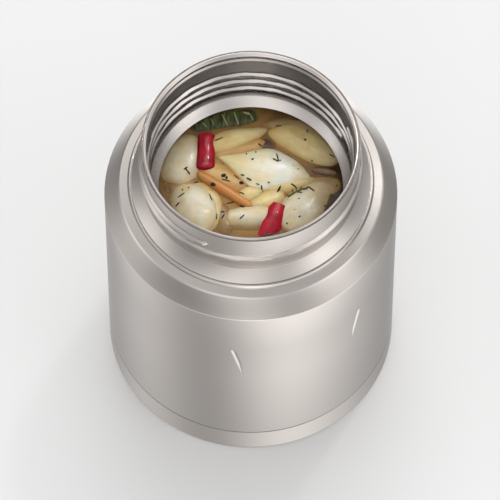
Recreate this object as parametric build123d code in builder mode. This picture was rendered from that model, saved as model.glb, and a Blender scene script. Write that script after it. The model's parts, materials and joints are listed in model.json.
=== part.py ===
from build123d import *
import os

# Wide-mouth vacuum food jar, open and full of soup. Millimetres.
# The origin is the centre of the base, on the surface that the jar stands on, and +Z is its axis.
# Every sheet-metal piece is turned about that axis from a bent line that carries its wall.

# ---- Driving dimensions -----------------------------------------------------------------

# Overall
jar_height = 126.3  # base to the top of the rim
neck_radius = 36.7  # outside of the neck, where the lid's skirt goes

# Shoulder, from the neck outwards: how far each stretch runs out, and how far it drops
cone_run, cone_drop = 3.6, 3.4  # steep cone round the foot of the neck
step_run, step_drop = 1.4, 1.7  # small rounded step
land_run, land_drop = 3.2, 1.0  # nearly flat ring
bevel_run, bevel_drop = 4.6, 6.4  # bevel down to the body

# Sheet thicknesses
shell_wall = 0.6
cap_wall = 0.6
liner_wall = 0.5
closure_wall = 0.8
foil_wall = 0.15

# Neck and rim
neck_height = 19.5  # foot of the neck to the top of the rim
rim_width = 1.7
rim_height = 1.4
rim_round = 0.55
neck_gap = 0.9  # vacuum between the two necks
gallery_gap = 0.2  # the same under the rim, where the liner is spread outwards
gallery_height = 1.9
gallery_slope = 0.8

# Sealing ledge, where the neck narrows to the mouth of the vessel
ledge_depth = 25.8  # top of the rim to the outer edge of the ledge
ledge_set_in = 0.8  # neck wall to the outer edge of the ledge
ledge_chamfer = 1.1
ledge_run, ledge_drop = 3.6, 2.7
ledge_lip_round = 1.2

# Vessel
vacuum_gap = 4.2  # between the liner's belly and the body
belly_drop = 11.0  # mouth of the vessel down to the straight belly
belly_round = 5.0
bottom_height = 8.0  # pressed bottom, up to its weld
bottom_round = 6.0
floor_gap = 4.8  # vacuum between the closure disc and the liner's bottom

# Base
seam_height = 12.5  # top edge of the base cap
seam_gap = 0.5  # open line between the cap and the body, where the shell is swaged in
bond_gap = 0.2  # adhesive between the cap and the swaged end
bond_height = 6.0
bond_inset = 1.0  # adhesive stops below the cap's edge
cap_round = 2.0
foot_width = 7.5  # flat ring that the jar stands on
recess_depth = 1.6
recess_slope = 2.0
closure_edge_height = 4.5  # lower edge of the shell and of the closure disc
closure_flange = 4.2
closure_round = 2.0
dimple_radius = 3.2
dimple_depth = 1.2
dimple_slope = 1.4
port_radius = 0.75  # evacuation hole

# Getter and its strap
getter_radius = 4.2
getter_height = 1.8
getter_offset = 22.0  # from the axis
getter_clearance = 0.4
strap_wall = 0.3
strap_width = 4.0
strap_foot = 4.4

# Foil
foil_inset = 3.0  # foil ends short of the liner's bends

# Pressed grooves, one each side of the plain place on the front, leaning outwards
front_bearing = 20.2  # degrees from -Y towards +X to the middle of that place
groove_spread = 51.5  # degrees between the middles of the two grooves
groove_foot = 55.5  # lower, pointed end over the base
groove_rise = 17.0
groove_lean = 4.0  # how far the upper end lies further out than the point
groove_width = 1.5
groove_taper = 0.54  # share of the rise over which it widens from the point
groove_depth = 0.4

# Contents, cut and laid out for a surface of broth of this radius and scaled to the real one
layout_radius = 34.0
freeboard = 3.0  # mouth of the vessel down to the broth
fill_gap = 0.2  # broth to the vessel's wall
piece_gap = 0.3  # broth to the pieces in it

# Onions: centre x, y, heading in degrees, length, width
onions = [
    (3.8, 8.0, -12, 32.0, 15.6),
    (17.8, 18.8, -30, 25.0, 11.2),
    (-3.4, 21.9, 23, 19.5, 7.6),
    (-24.3, 11.4, 70, 16.0, 11.0),
    (-19.3, -5.6, -68, 18.5, 14.0),
    (20.0, -6.2, 52, 18.5, 13.2),
    (-1.8, -11.0, 6, 11.5, 7.6),
    (-9.0, -24.0, -15, 17.0, 11.0),
    (12.0, -25.0, 22, 16.0, 9.0),
]
onion_shoulder = 0.08  # share of its length from its middle to its widest place
onion_tip, onion_root = 0.22, 0.32  # radii of its ends seen from above, as shares of its width
onion_height = 0.7  # as a share of its width, like the next two
onion_show = 0.15  # how far it stands out of the broth
onion_round = 0.2  # radius of its upper edge

# Pepper pieces: centre x, y, heading of the long side, length, width between the lower edges
peppers = [
    (-15.4, 14.4, 88, 11.6, 3.4),
    (7.6, -11.8, 71, 12.0, 4.4),
]
pepper_wall = 1.8
pepper_bow = 4.0  # radius of the pepper's curve across its width

# Carrot strip
carrot_place = (-8.3, 0.1)
carrot_heading = -33
carrot_length = 21.4
carrot_width = 3.3
carrot_tip_width = 1.4  # left end
carrot_end_width = 2.4  # right end
carrot_shoulder = 0.2  # share of its length from its middle back to its widest place
carrot_thickness = 2.0
carrot_round = 0.4  # radius of its upper edge

# Leaf along the back of the vessel's mouth
leaf_thickness = 0.5
leaf_length = 22.0
leaf_front = 26.3  # from the axis to the leaf's front edge
leaf_wall_gap = 1.5
leaf_swing = 18  # degrees that the leaf lies to the left of the back
leaf_lift = 0.3

# ---- Sizes worked out from those --------------------------------------------------------

rim_under = jar_height - rim_height
neck_foot = jar_height - neck_height
step_top = neck_foot - cone_drop
land_top = step_top - step_drop
bevel_top = land_top - land_drop
body_top = bevel_top - bevel_drop

step_radius = neck_radius + cone_run
land_radius = step_radius + step_run
bevel_radius = land_radius + land_run
body_radius = bevel_radius + bevel_run

cap_bore = body_radius - cap_wall
swaged_radius = cap_bore - bond_gap
closure_radius = swaged_radius - shell_wall

neck_bore = neck_radius - shell_wall - neck_gap - liner_wall
gallery_radius = neck_radius - shell_wall - gallery_gap - liner_wall
gallery_floor = rim_under - gallery_height
rim_bore = neck_radius - rim_width
ledge_top = jar_height - ledge_depth
ledge_outer = neck_bore - ledge_set_in
mouth_radius = ledge_outer - ledge_run
mouth_height = ledge_top - ledge_drop
belly_radius = body_radius - shell_wall - vacuum_gap - liner_wall
belly_top = mouth_height - belly_drop

closure_top = closure_edge_height + closure_flange
floor_height = closure_top + floor_gap + liner_wall
weld_height = floor_height + bottom_height

broth_top = mouth_height - freeboard
broth_radius = mouth_radius + (belly_radius - mouth_radius) * freeboard / belly_drop
portion = (broth_radius - fill_gap) / layout_radius


def bent_sheet(points, bends, wall):
    """The section of a bent sheet: straight runs and bends, with an even wall on their left."""
    with BuildSketch() as section:
        with BuildLine():
            FilletPolyline(*points, radius=bends)
            offset(amount=wall, side=Side.LEFT, kind=Kind.INTERSECTION)
        make_face()
    return section.sketch


# ---- Outer shell: one drawn sheet from the swaged lower end to the edge under the rim ------

shell_line = [
    (swaged_radius, closure_edge_height),
    (swaged_radius, seam_height),
    (body_radius, seam_height + seam_gap),
    (body_radius, body_top),
    (bevel_radius, bevel_top),
    (land_radius, land_top),
    (step_radius, step_top),
    (neck_radius, neck_foot),
    (neck_radius, rim_under),
]
shell_bends = [0, 0, 1.2, 0.8, 0.8, 0.8, 1.2]
shell_section = bent_sheet(shell_line, shell_bends, shell_wall)


def groove_plane(side, radius):
    """The plane behind one groove, square to the jar's radius, with its Y up."""
    bearing = front_bearing + side * groove_spread / 2
    outward = Vector(0, -1, 0).rotate(Axis.Z, bearing)
    foot = outward * radius + Vector(0, 0, groove_foot)
    return Plane(origin=foot, x_dir=Vector(0, 0, 1).cross(outward), z_dir=outward)


def groove_outline(side):
    """One groove from outside: pointed at its foot, then even up to its square upper end."""
    foot = -side * groove_lean / 2
    head = side * groove_lean / 2
    waist = foot + (head - foot) * groove_taper
    inwards = -side * groove_width
    with BuildSketch() as outline:
        with BuildLine():
            Polyline(
                (foot, 0),
                (head, groove_rise),
                (head + inwards, groove_rise),
                (waist + inwards, groove_rise * groove_taper),
                close=True,
            )
        make_face()
    return outline.sketch


with BuildPart() as outer_shell:
    with BuildSketch(Plane.XZ):
        add(shell_section)
    revolve(axis=Axis.Z)
    # The press moves the sheet inwards, so each groove stands out on the inner face
    for side in (-1, 1):
        groove = groove_outline(side)
        with BuildSketch(groove_plane(side, body_radius - shell_wall - groove_depth)):
            add(groove)
            offset(amount=shell_wall / 2, kind=Kind.INTERSECTION)
        extrude(amount=groove_depth + shell_wall / 2)
        with BuildSketch(groove_plane(side, body_radius - groove_depth)):
            add(groove)
        extrude(amount=2 * groove_depth, mode=Mode.SUBTRACT)
outer_shell.part.label = "outer_shell"

# ---- Base cap: pressed cup with a raised centre, over the swaged end ----------------------

foot_radius = body_radius - cap_round - foot_width
cap_line = [
    (0, recess_depth),
    (foot_radius - recess_slope, recess_depth),
    (foot_radius, 0),
    (body_radius, 0),
    (body_radius, seam_height),
]
cap_bends = [0, 0, cap_round]
cap_section = bent_sheet(cap_line, cap_bends, cap_wall)

with BuildPart() as base_cap:
    with BuildSketch(Plane.XZ):
        add(cap_section)
    revolve(axis=Axis.Z)
base_cap.part.label = "base_cap"

# ---- Bond ring: adhesive between the cap's wall and the swaged end -------------------------

bond_foot = seam_height - bond_inset - bond_height
with BuildPart() as bond_ring:
    with BuildSketch(Plane.XY.offset(bond_foot)):
        Circle(cap_bore)
        Circle(swaged_radius, mode=Mode.SUBTRACT)
    extrude(amount=bond_height)
bond_ring.part.label = "bond_ring"

# ---- Closure disc: flanged, welded into the shell, with the dimple and the port ------------

closure_line = [
    (closure_radius, closure_edge_height),
    (closure_radius, closure_top),
    (dimple_radius + dimple_slope, closure_top),
    (dimple_radius, closure_top + dimple_depth),
    (port_radius, closure_top + dimple_depth),
]
closure_bends = [closure_round, 0, 0]
closure_section = bent_sheet(closure_line, closure_bends, closure_wall)

with BuildPart() as vacuum_base:
    with BuildSketch(Plane.XZ):
        add(closure_section)
    revolve(axis=Axis.Z)
vacuum_base.part.label = "vacuum_base"

# ---- Seal bead: fills the dimple and plugs the port ----------------------------------------

bead_top = closure_top + dimple_depth - closure_wall
with BuildPart() as seal_bead:
    with BuildSketch(Plane.XY.offset(bead_top)):
        Circle(dimple_radius - closure_wall)
    extrude(amount=-dimple_depth)
    with BuildSketch(Plane.XY.offset(bead_top)):
        Circle(port_radius)
    extrude(amount=closure_wall)
seal_bead.part.label = "seal_bead"

# ---- Inner liner: rim, gallery, neck wall, ledge and belly in one drawn sheet --------------

liner_line = [
    (gallery_radius, rim_under),
    (gallery_radius, gallery_floor),
    (neck_bore, gallery_floor - gallery_slope),
    (neck_bore, ledge_top + ledge_chamfer),
    (ledge_outer, ledge_top),
    (mouth_radius, mouth_height),
    (belly_radius, belly_top),
    (belly_radius, weld_height),
]
liner_bends = [0, 0, 0, 0, ledge_lip_round, belly_round]
liner_section = bent_sheet(liner_line, liner_bends, liner_wall)

with BuildPart() as inner_liner:
    with BuildSketch(Plane.XZ) as lipped_section:
        add(liner_section)
        with Locations((rim_bore, rim_under)):
            Rectangle(rim_width, rim_height, align=(Align.MIN, Align.MIN))
        fillet(lipped_section.vertices().group_by(Axis.Y)[-1], radius=rim_round)
    revolve(axis=Axis.Z)
inner_liner.part.label = "inner_liner"

# ---- Liner bottom: pressed dish, butt-welded to the drawn liner ----------------------------

bottom_line = [
    (belly_radius, weld_height),
    (belly_radius, floor_height),
    (0, floor_height),
]
bottom_section = bent_sheet(bottom_line, [bottom_round], liner_wall)

with BuildPart() as liner_bottom:
    with BuildSketch(Plane.XZ):
        add(bottom_section)
    revolve(axis=Axis.Z)
liner_bottom.part.label = "liner_bottom"

# ---- Foil round the belly and under the bottom: sends radiated heat back -------------------

foil_bore = belly_radius + liner_wall
foil_foot = floor_height + bottom_round + foil_inset
foil_head = belly_top - belly_round - foil_inset
with BuildPart() as foil_wrap:
    with BuildSketch(Plane.XY.offset(foil_foot)):
        Circle(foil_bore + foil_wall)
        Circle(foil_bore, mode=Mode.SUBTRACT)
    extrude(amount=foil_head - foil_foot)
foil_wrap.part.label = "foil_wrap"

with BuildPart() as foil_disc:
    with BuildSketch(Plane.XY.offset(floor_height - liner_wall)):
        Circle(belly_radius - bottom_round - foil_inset)
    extrude(amount=-foil_wall)
foil_disc.part.label = "foil_disc"

# ---- Getter pill on the closure disc, and the strap that holds it down ---------------------

with BuildPart() as getter:
    with BuildSketch(Plane.XY.offset(closure_top)):
        with Locations((getter_offset, 0)):
            Circle(getter_radius)
    extrude(amount=getter_height)
getter.part.label = "getter"

strap_half = getter_radius + getter_clearance
strap_line = [
    (-strap_half - strap_foot, 0),
    (-strap_half, 0),
    (-strap_half, getter_height),
    (strap_half, getter_height),
    (strap_half, 0),
    (strap_half + strap_foot, 0),
]
strap_bends = [0.5, 0.3, 0.3, 0.5]
strap_section = bent_sheet(strap_line, strap_bends, strap_wall)

with BuildPart() as getter_clip:
    with BuildSketch(Plane(origin=(getter_offset, 0, closure_top), x_dir=(1, 0, 0), z_dir=(0, -1, 0))):
        add(strap_section)
    extrude(amount=strap_width / 2, both=True)
getter_clip.part.label = "getter_clip"

# ---- Onions: broad in the middle and pointed at the left end, lying mostly in the broth -----


def onion_outline(length, width, clearance):
    """One onion seen from above, its tip towards -X, widened all round by a clearance."""
    tip_radius = onion_tip * width
    root_radius = onion_root * width
    with BuildSketch() as outline:
        with Locations((tip_radius - length / 2, 0)):
            Circle(tip_radius + clearance)
        with Locations((onion_shoulder * length, 0)):
            Circle(width / 2 + clearance)
        with Locations((length / 2 - root_radius, 0)):
            Circle(root_radius + clearance)
        make_hull()
    return outline.sketch


def surface_plane(x, y, heading):
    """The plane of the broth's surface at a piece's place, turned to the piece's heading."""
    return Plane(Location((x * portion, y * portion, broth_top), (0, 0, heading)))


onion_parts = []
onion_pockets = []
for number, (x, y, heading, full_length, full_width) in enumerate(onions, 1):
    length = full_length * portion
    width = full_width * portion
    onion_depth = (onion_height - onion_show) * width
    onion_surface = surface_plane(x, y, heading)
    onion_shape = onion_outline(length, width, 0)
    onion_hollow = onion_outline(length, width, piece_gap)
    with BuildPart() as onion:
        with BuildSketch(onion_surface.offset(-onion_depth)):
            add(onion_shape)
        extrude(amount=onion_height * width)
        fillet(onion.faces().sort_by(Axis.Z)[-1].edges(), radius=onion_round * width)
    onion.part.label = f"onion_{number}"
    onion_parts.append(onion.part)
    onion_pockets.append((onion_surface, onion_hollow, onion_depth + piece_gap))

# ---- Carrot: a tapered strip lying in the surface of the broth ------------------------------


def carrot_outline(clearance):
    """The strip seen from above, its thin tip towards -X, widened all round by a clearance."""
    length = carrot_length * portion
    half_width = carrot_width * portion / 2
    half_tip = carrot_tip_width * portion / 2
    half_end = carrot_end_width * portion / 2
    with BuildSketch() as outline:
        with BuildLine():
            Polyline(
                (-length / 2, -half_tip),
                (-carrot_shoulder * length, -half_width),
                (length / 2, -half_end),
                (length / 2, half_end),
                (-carrot_shoulder * length, half_width),
                (-length / 2, half_tip),
                close=True,
            )
        make_face()
        if clearance > 0:
            offset(amount=clearance, kind=Kind.INTERSECTION)
    return outline.sketch


carrot_surface = surface_plane(*carrot_place, carrot_heading)
carrot_depth = carrot_thickness / 2
carrot_shape = carrot_outline(0)
carrot_hollow = carrot_outline(piece_gap)

with BuildPart() as carrot_strip:
    with BuildSketch(carrot_surface.offset(-carrot_depth)):
        add(carrot_shape)
    extrude(amount=carrot_thickness)
    fillet(carrot_strip.faces().sort_by(Axis.Z)[-1].edges(), radius=carrot_round)
carrot_strip.part.label = "carrot_strip"

# ---- Broth: fills the vessel, with a pocket for each piece that lies in it -----------------

broth_line = [
    (0, floor_height),
    (belly_radius - fill_gap, floor_height),
    (belly_radius - fill_gap, belly_top),
    (broth_radius - fill_gap, broth_top),
    (0, broth_top),
]

with BuildPart() as broth:
    with BuildSketch(Plane.XZ):
        with BuildLine():
            FilletPolyline(*broth_line, radius=[0, bottom_round, belly_round, 0, 0], close=True)
        make_face()
    revolve(axis=Axis.Z)
    for surface, hollow, depth in onion_pockets:
        with BuildSketch(surface):
            add(hollow)
        extrude(amount=-depth, mode=Mode.SUBTRACT)
    with BuildSketch(carrot_surface):
        add(carrot_hollow)
    extrude(amount=-carrot_depth - piece_gap, mode=Mode.SUBTRACT)
broth.part.label = "broth"

# ---- Pepper pieces: bowed slabs of pepper wall on the broth ---------------------------------

pepper_parts = []
for number, (x, y, heading, full_length, full_width) in enumerate(peppers, 1):
    pepper_surface = surface_plane(x, y, heading).offset(piece_gap)
    pepper_end = Plane(pepper_surface.origin, x_dir=pepper_surface.y_dir, z_dir=pepper_surface.x_dir)
    half_width = full_width * portion / 2
    with BuildPart() as pepper:
        with BuildSketch(pepper_end):
            with BuildLine():
                RadiusArc((-half_width, 0), (half_width, 0), pepper_bow)
                offset(amount=pepper_wall, side=Side.LEFT)
            make_face()
        extrude(amount=full_length * portion / 2, both=True)
    pepper.part.label = f"pepper_{number}"
    pepper_parts.append(pepper.part)

# ---- Leaf: a thin strip along the back of the mouth ----------------------------------------

leaf_plane = Plane.XY.offset(broth_top + leaf_lift).rotated((0, 0, leaf_swing))
with BuildPart() as leaf_piece:
    with BuildSketch(leaf_plane):
        Circle(broth_radius - leaf_wall_gap)
        with Locations((0, leaf_front * portion)):
            Rectangle(
                leaf_length * portion,
                broth_radius,
                align=(Align.CENTER, Align.MIN),
                mode=Mode.INTERSECT,
            )
    extrude(amount=leaf_thickness)
leaf_piece.part.label = "leaf_piece"

# ---- One STEP file for each piece -----------------------------------------------------------

os.makedirs("parts", exist_ok=True)
jar = [outer_shell, base_cap, bond_ring, vacuum_base, seal_bead, inner_liner, liner_bottom]
inside = [foil_wrap, foil_disc, getter, getter_clip]
food = [broth, carrot_strip, leaf_piece]
pieces = [piece.part for piece in jar + inside + food] + onion_parts + pepper_parts
for piece in pieces:
    export_step(piece, f"parts/{piece.label}.step")
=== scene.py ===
import json
import math
import random

import bpy
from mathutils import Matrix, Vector, noise
from mathutils.bvhtree import BVHTree

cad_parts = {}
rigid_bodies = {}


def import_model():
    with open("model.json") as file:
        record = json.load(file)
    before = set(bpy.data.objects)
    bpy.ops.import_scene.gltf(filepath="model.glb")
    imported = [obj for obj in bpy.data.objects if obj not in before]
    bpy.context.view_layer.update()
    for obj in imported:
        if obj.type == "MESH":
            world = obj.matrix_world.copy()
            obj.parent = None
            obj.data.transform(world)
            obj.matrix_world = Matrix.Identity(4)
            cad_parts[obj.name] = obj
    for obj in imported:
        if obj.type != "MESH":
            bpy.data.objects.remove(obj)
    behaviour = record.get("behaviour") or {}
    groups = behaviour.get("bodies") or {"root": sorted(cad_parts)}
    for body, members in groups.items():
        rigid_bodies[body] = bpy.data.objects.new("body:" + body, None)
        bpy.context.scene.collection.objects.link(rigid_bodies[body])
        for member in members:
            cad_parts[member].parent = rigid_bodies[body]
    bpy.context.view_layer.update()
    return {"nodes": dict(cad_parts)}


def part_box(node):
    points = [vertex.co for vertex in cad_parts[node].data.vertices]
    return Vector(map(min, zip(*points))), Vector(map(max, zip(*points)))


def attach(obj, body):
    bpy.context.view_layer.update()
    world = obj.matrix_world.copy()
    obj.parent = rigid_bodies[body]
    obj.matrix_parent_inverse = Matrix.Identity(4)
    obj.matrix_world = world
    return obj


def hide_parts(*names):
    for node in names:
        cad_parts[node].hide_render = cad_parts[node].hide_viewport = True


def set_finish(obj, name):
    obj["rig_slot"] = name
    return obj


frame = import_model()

# ---- Camera ---------------------------------------------------------------------------------
# A long lens looks down on the jar from the front, at the middle of the body's height. Its
# distance and its aim are given in body radii.

body_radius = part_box("outer_shell")[1].x

picture_pixels = 500
focal_pixels = 6000
sensor_width = 36
camera_tilt = math.radians(61.08)
camera_distance = 41.67 * body_radius
aim_height = 1.084 * body_radius
centre_column = 250.85

bpy.ops.object.select_all(action="DESELECT")
bpy.ops.object.camera_add(
    location=(
        0,
        -camera_distance * math.cos(camera_tilt),
        aim_height + camera_distance * math.sin(camera_tilt),
    ),
    rotation=(math.pi / 2 - camera_tilt, 0, 0),
)
camera = bpy.context.object
camera.data.sensor_width = sensor_width
camera.data.lens = focal_pixels * sensor_width / picture_pixels
camera.data.shift_x = (picture_pixels / 2 - centre_column) / picture_pixels
bpy.context.scene.camera = camera
bpy.context.scene.view_settings.view_transform = "Standard"


# ---- Floor ----------------------------------------------------------------------------------
# The board that the jar stands on: smooth, and painted pale and matt. It isn't part of the
# jar, so it only dresses the stage.


def linear(hex_colour):
    """The linear colour, with alpha, of an sRGB hex value."""
    channels = [int(hex_colour[i : i + 2], 16) / 255 for i in (1, 3, 5)]
    return [c / 12.92 if c <= 0.04045 else ((c + 0.055) / 1.055) ** 2.4 for c in channels] + [1]


def add_node(material, kind, settings=None, links=None, **attributes):
    """Adds a node: its attributes, its sockets' values, and links from other nodes' outputs."""
    node = material.node_tree.nodes.new(kind)
    for name, value in attributes.items():
        setattr(node, name, value)
    for socket, value in (settings or {}).items():
        node.inputs[socket].default_value = value
    for socket, (source, output) in (links or {}).items():
        material.node_tree.links.new(source.outputs[output], node.inputs[socket])
    return node


def new_material(name):
    """A node material with nothing in it yet."""
    material = bpy.data.materials.new(name)
    material.use_nodes = True
    material.node_tree.nodes.clear()
    return material


# Matt paint: an even pale grey without a shine
board = new_material("painted_board")
board_paint = add_node(
    board, "ShaderNodeBsdfPrincipled", {"Base Color": linear("#e0e0e0"), "Roughness": 0.9}
)
add_node(board, "ShaderNodeOutputMaterial", links={"Surface": (board_paint, "BSDF")})

floor_size = 8  # metres
bpy.ops.mesh.primitive_plane_add(size=floor_size)
floor = bpy.context.object
floor.name = "floor"
floor.data.materials.append(board)

# ---- Light ----------------------------------------------------------------------------------
# A light tent round the jar: an even glow, and a soft patch where each lamp stands behind the
# cloth. Azimuths run from the front towards +X. The board stands on legs in the middle of the
# tent and the steel doesn't pick it up, so the jar's walls show the lower lamps.

floor.visible_glossy = False
floor.visible_shadow = False

tent_glow = 0.344
# azimuth and elevation in degrees, strength, and narrowness: the power of the cosine of the
# angle from the lamp's direction
tent_lamps = [
    (30, -50, 1.19, 12),
    (90, -50, 0.40, 12),
    (-90, -50, 0.60, 12),
    (0, -25, 1.27, 12),
    (0, -18, 0.80, 40),
    (-32, -25, 0.80, 40),
    (60, -29, 0.30, 40),
    (30, -25, 0.38, 12),
    (60, -25, 1.14, 12),
    (-60, -25, 0.48, 12),
    (-90, -25, 0.50, 12),
    (180, -25, 3.04, 12),
    (0, 25, 0.72, 12),
    (0, 40, 0.24, 12),
    (60, 25, 1.74, 12),
    (120, 25, 0.89, 12),
    (-90, 25, 1.27, 12),
    (-30, 50, 0.97, 12),
    (180, 50, 2.90, 12),
    (180, 75, 0.65, 12),
    (148, 55, 60.0, 1500),
]

tent = bpy.data.worlds.new("light_tent")
tent.use_nodes = True
glow = tent.node_tree.nodes["Background"]
glow.inputs["Color"].default_value = linear("#ffffff")
gaze = add_node(tent, "ShaderNodeTexCoord")
total = add_node(tent, "ShaderNodeMath", {0: tent_glow, 1: 0}, operation="ADD")
for azimuth, elevation, strength, narrowness in tent_lamps:
    turn, rise = math.radians(azimuth), math.radians(elevation)
    lamp_way = (math.sin(turn) * math.cos(rise), -math.cos(turn) * math.cos(rise), math.sin(rise))
    facing = add_node(
        tent,
        "ShaderNodeVectorMath",
        {1: lamp_way},
        {0: (gaze, "Generated")},
        operation="DOT_PRODUCT",
    )
    ahead = add_node(tent, "ShaderNodeMath", {1: 0}, {0: (facing, "Value")}, operation="MAXIMUM")
    patch = add_node(
        tent, "ShaderNodeMath", {1: narrowness}, {0: (ahead, "Value")}, operation="POWER"
    )
    total = add_node(
        tent,
        "ShaderNodeMath",
        {1: strength},
        {0: (patch, "Value"), 2: (total, "Value")},
        operation="MULTIPLY_ADD",
    )
tent.node_tree.links.new(total.outputs["Value"], glow.inputs["Strength"])
bpy.context.scene.world = tent

# ---- Outer shell ----------------------------------------------------------------------------
# The drawn outer body: 0.6 mm stainless sheet (18/8), turned to shape, with the lid's thread
# rolled into its neck and a wedge pressed in on each side of the front. Satin, lathe-brushed.

MM = 0.001
columns = 360  # of faces round the jar's axis


def rounded(corners, bends):
    """A line of (radius, height) points with an arc of the given radius at each inner corner."""
    arc_step = 15  # degrees
    line = [corners[0]]
    for before, corner, after, bend in zip(corners, corners[1:], corners[2:], bends):
        corner = Vector(corner)
        back = (Vector(before) - corner).normalized()
        ahead = (Vector(after) - corner).normalized()
        turn = math.pi - back.angle(ahead)
        reach = bend * math.tan(turn / 2)
        centre = corner + (back + ahead).normalized() * bend / math.cos(turn / 2)
        start = corner + back * reach - centre
        side = 1 if start.x * ahead.y - start.y * ahead.x > 0 else -1
        steps = max(1, round(math.degrees(turn) / arc_step))
        for step in range(steps + 1):
            swing = side * turn * step / steps
            line.append(
                (
                    centre.x + start.x * math.cos(swing) - start.y * math.sin(swing),
                    centre.y + start.x * math.sin(swing) + start.y * math.cos(swing),
                )
            )
    return line + [corners[-1]]


def divided(line, low, high):
    """The line with more points on its straight stretches between two heights, for a thread."""
    spacing = 0.2
    finer = [line[0]]
    for start, end in zip(line, line[1:]):
        inside = low <= min(start[1], end[1]) and max(start[1], end[1]) <= high
        span = math.dist(start, end)
        steps = max(1, round(span / spacing)) if inside else 1
        for step in range(1, steps + 1):
            share = step / steps
            finer.append(tuple(a + (b - a) * share for a, b in zip(start, end)))
    return finer


def other_side(corners, wall):
    """The corners of a sheet's other face, a wall to the right of the direction of travel."""
    moved = []
    for i, corner in enumerate(corners):
        corner = Vector(corner)
        runs = []
        if i > 0:
            runs.append((corner - Vector(corners[i - 1])).normalized())
        if i < len(corners) - 1:
            runs.append((Vector(corners[i + 1]) - corner).normalized())
        along = sum(runs, Vector((0, 0))).normalized()
        lean = math.cos(runs[0].angle(along))
        moved.append(tuple(corner + Vector((along.y, -along.x)) * wall / lean))
    return moved


def turned(name, line):
    """A solid or skin turned about the jar's axis from a line of (radius, height) in mm."""
    weld = 0.002  # mm, less than any step of the line
    bpy.ops.object.select_all(action="DESELECT")
    bpy.ops.mesh.primitive_plane_add(size=MM)
    piece = bpy.context.object
    piece.name = name
    bpy.ops.object.mode_set(mode="EDIT")
    bpy.ops.mesh.merge(type="CENTER")
    bpy.ops.transform.translate(value=(line[0][0] * MM, 0, line[0][1] * MM))
    for here, there in zip(line, line[1:]):
        step = ((there[0] - here[0]) * MM, 0, (there[1] - here[1]) * MM)
        bpy.ops.mesh.extrude_region_move(TRANSFORM_OT_translate={"value": step})
    bpy.ops.mesh.select_all(action="SELECT")
    bpy.ops.mesh.spin(steps=columns, angle=2 * math.pi, center=(0, 0, 0), axis=(0, 0, 1))
    bpy.ops.mesh.select_all(action="SELECT")
    bpy.ops.mesh.remove_doubles(threshold=weld * MM)
    bpy.ops.mesh.normals_make_consistent(inside=False)
    bpy.ops.object.mode_set(mode="OBJECT")
    # On a deep thin vessel the recalculated faces can all point into the sheet
    outermost = max(piece.data.polygons, key=lambda face: face.center.to_2d().length)
    if outermost.normal.to_2d().dot(outermost.center.to_2d()) < 0:
        piece.data.flip_normals()
    return piece


def smooth(piece, angle=35):
    """Shades a piece smooth, but for edges sharper than an angle in degrees."""
    bpy.ops.object.select_all(action="DESELECT")
    piece.select_set(True)
    bpy.context.view_layer.objects.active = piece
    bpy.ops.object.shade_smooth_by_angle(angle=math.radians(angle))


def roll_thread(piece, wall_radius, crest, half_width, pitch, start, end, start_height):
    """Rolls a right-hand thread into a neck: start and end are degrees round from +X."""
    roundness = 0.25  # of the crest, as a share of the half width
    wall_tolerance = 0.02  # mm
    for vertex in piece.data.vertices:
        x, y, z = vertex.co / MM
        radius = math.hypot(x, y)
        if abs(radius - wall_radius) > wall_tolerance:
            continue
        angle = math.degrees(math.atan2(y, x))
        angle += 360 * math.ceil((start - 180 - angle) / 360)
        lift = 0
        while angle < end + 180:
            nearest = min(max(angle, start), end)
            height = start_height + pitch * (nearest - start) / 360
            past_end = math.radians(angle - nearest) * wall_radius
            away = math.hypot(z - height, past_end)
            if away < half_width:
                slant = math.hypot(1, roundness) - math.hypot(away / half_width, roundness)
                lift = crest * slant / (math.hypot(1, roundness) - roundness)
            angle += 360
        vertex.co.x *= (radius + lift) / radius
        vertex.co.y *= (radius + lift) / radius


shell_wall = 0.6
neck_radius = 36.7
neck_foot = 106.8
neck_top = 124.9
lip_top = (40.75, 103.35)
# radius and height of the outer face's corners, from the swaged foot up over the shoulder
shell_corners = [
    (48.7, 4.5),
    (48.7, 12.5),
    (49.5, 13.0),
    (49.5, 94.3),
    (44.9, 100.65),
    (44.3, 101.15),
    (41.6, 101.75),
    (41.15, 103.2),
    lip_top,
    (40.35, 103.2),
    (neck_radius, neck_foot),
    (neck_radius, neck_top),
]
shell_bends = [0.2, 0.3, 0.8, 0.15, 0.15, 0.15, 0.2, 0.15, 0.1, 0.4]
outer_face = divided(rounded(shell_corners, shell_bends), neck_foot, neck_top)

# The wall is divided into rows where the wedges are pressed
wedge_foot = 55.5
wedge_rise = 17.0
wedge_margin = 0.8
wedge_row = 0.3
row_count = round((wedge_rise + 2 * wedge_margin) / wedge_row) + 1
first_row = wedge_foot - wedge_margin
wedge_rows = [(body_radius / MM, first_row + wedge_row * row) for row in range(row_count)]
below = max(i for i, point in enumerate(outer_face) if point[1] < wedge_foot)
outer_face[below + 1 : below + 1] = wedge_rows

# The lip is too fine for the inner face to follow
inner_corners = [corner for corner in shell_corners if corner != lip_top]
inner_face = other_side(inner_corners, -shell_wall)
shell_piece = turned("shell", outer_face + inner_face[::-1] + outer_face[:1])

thread_pitch = 4.5
roll_thread(
    shell_piece,
    wall_radius=neck_radius,
    crest=1.0,
    half_width=1.0,
    pitch=thread_pitch,
    start=150,
    end=605,
    start_height=112.8,
)


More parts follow.
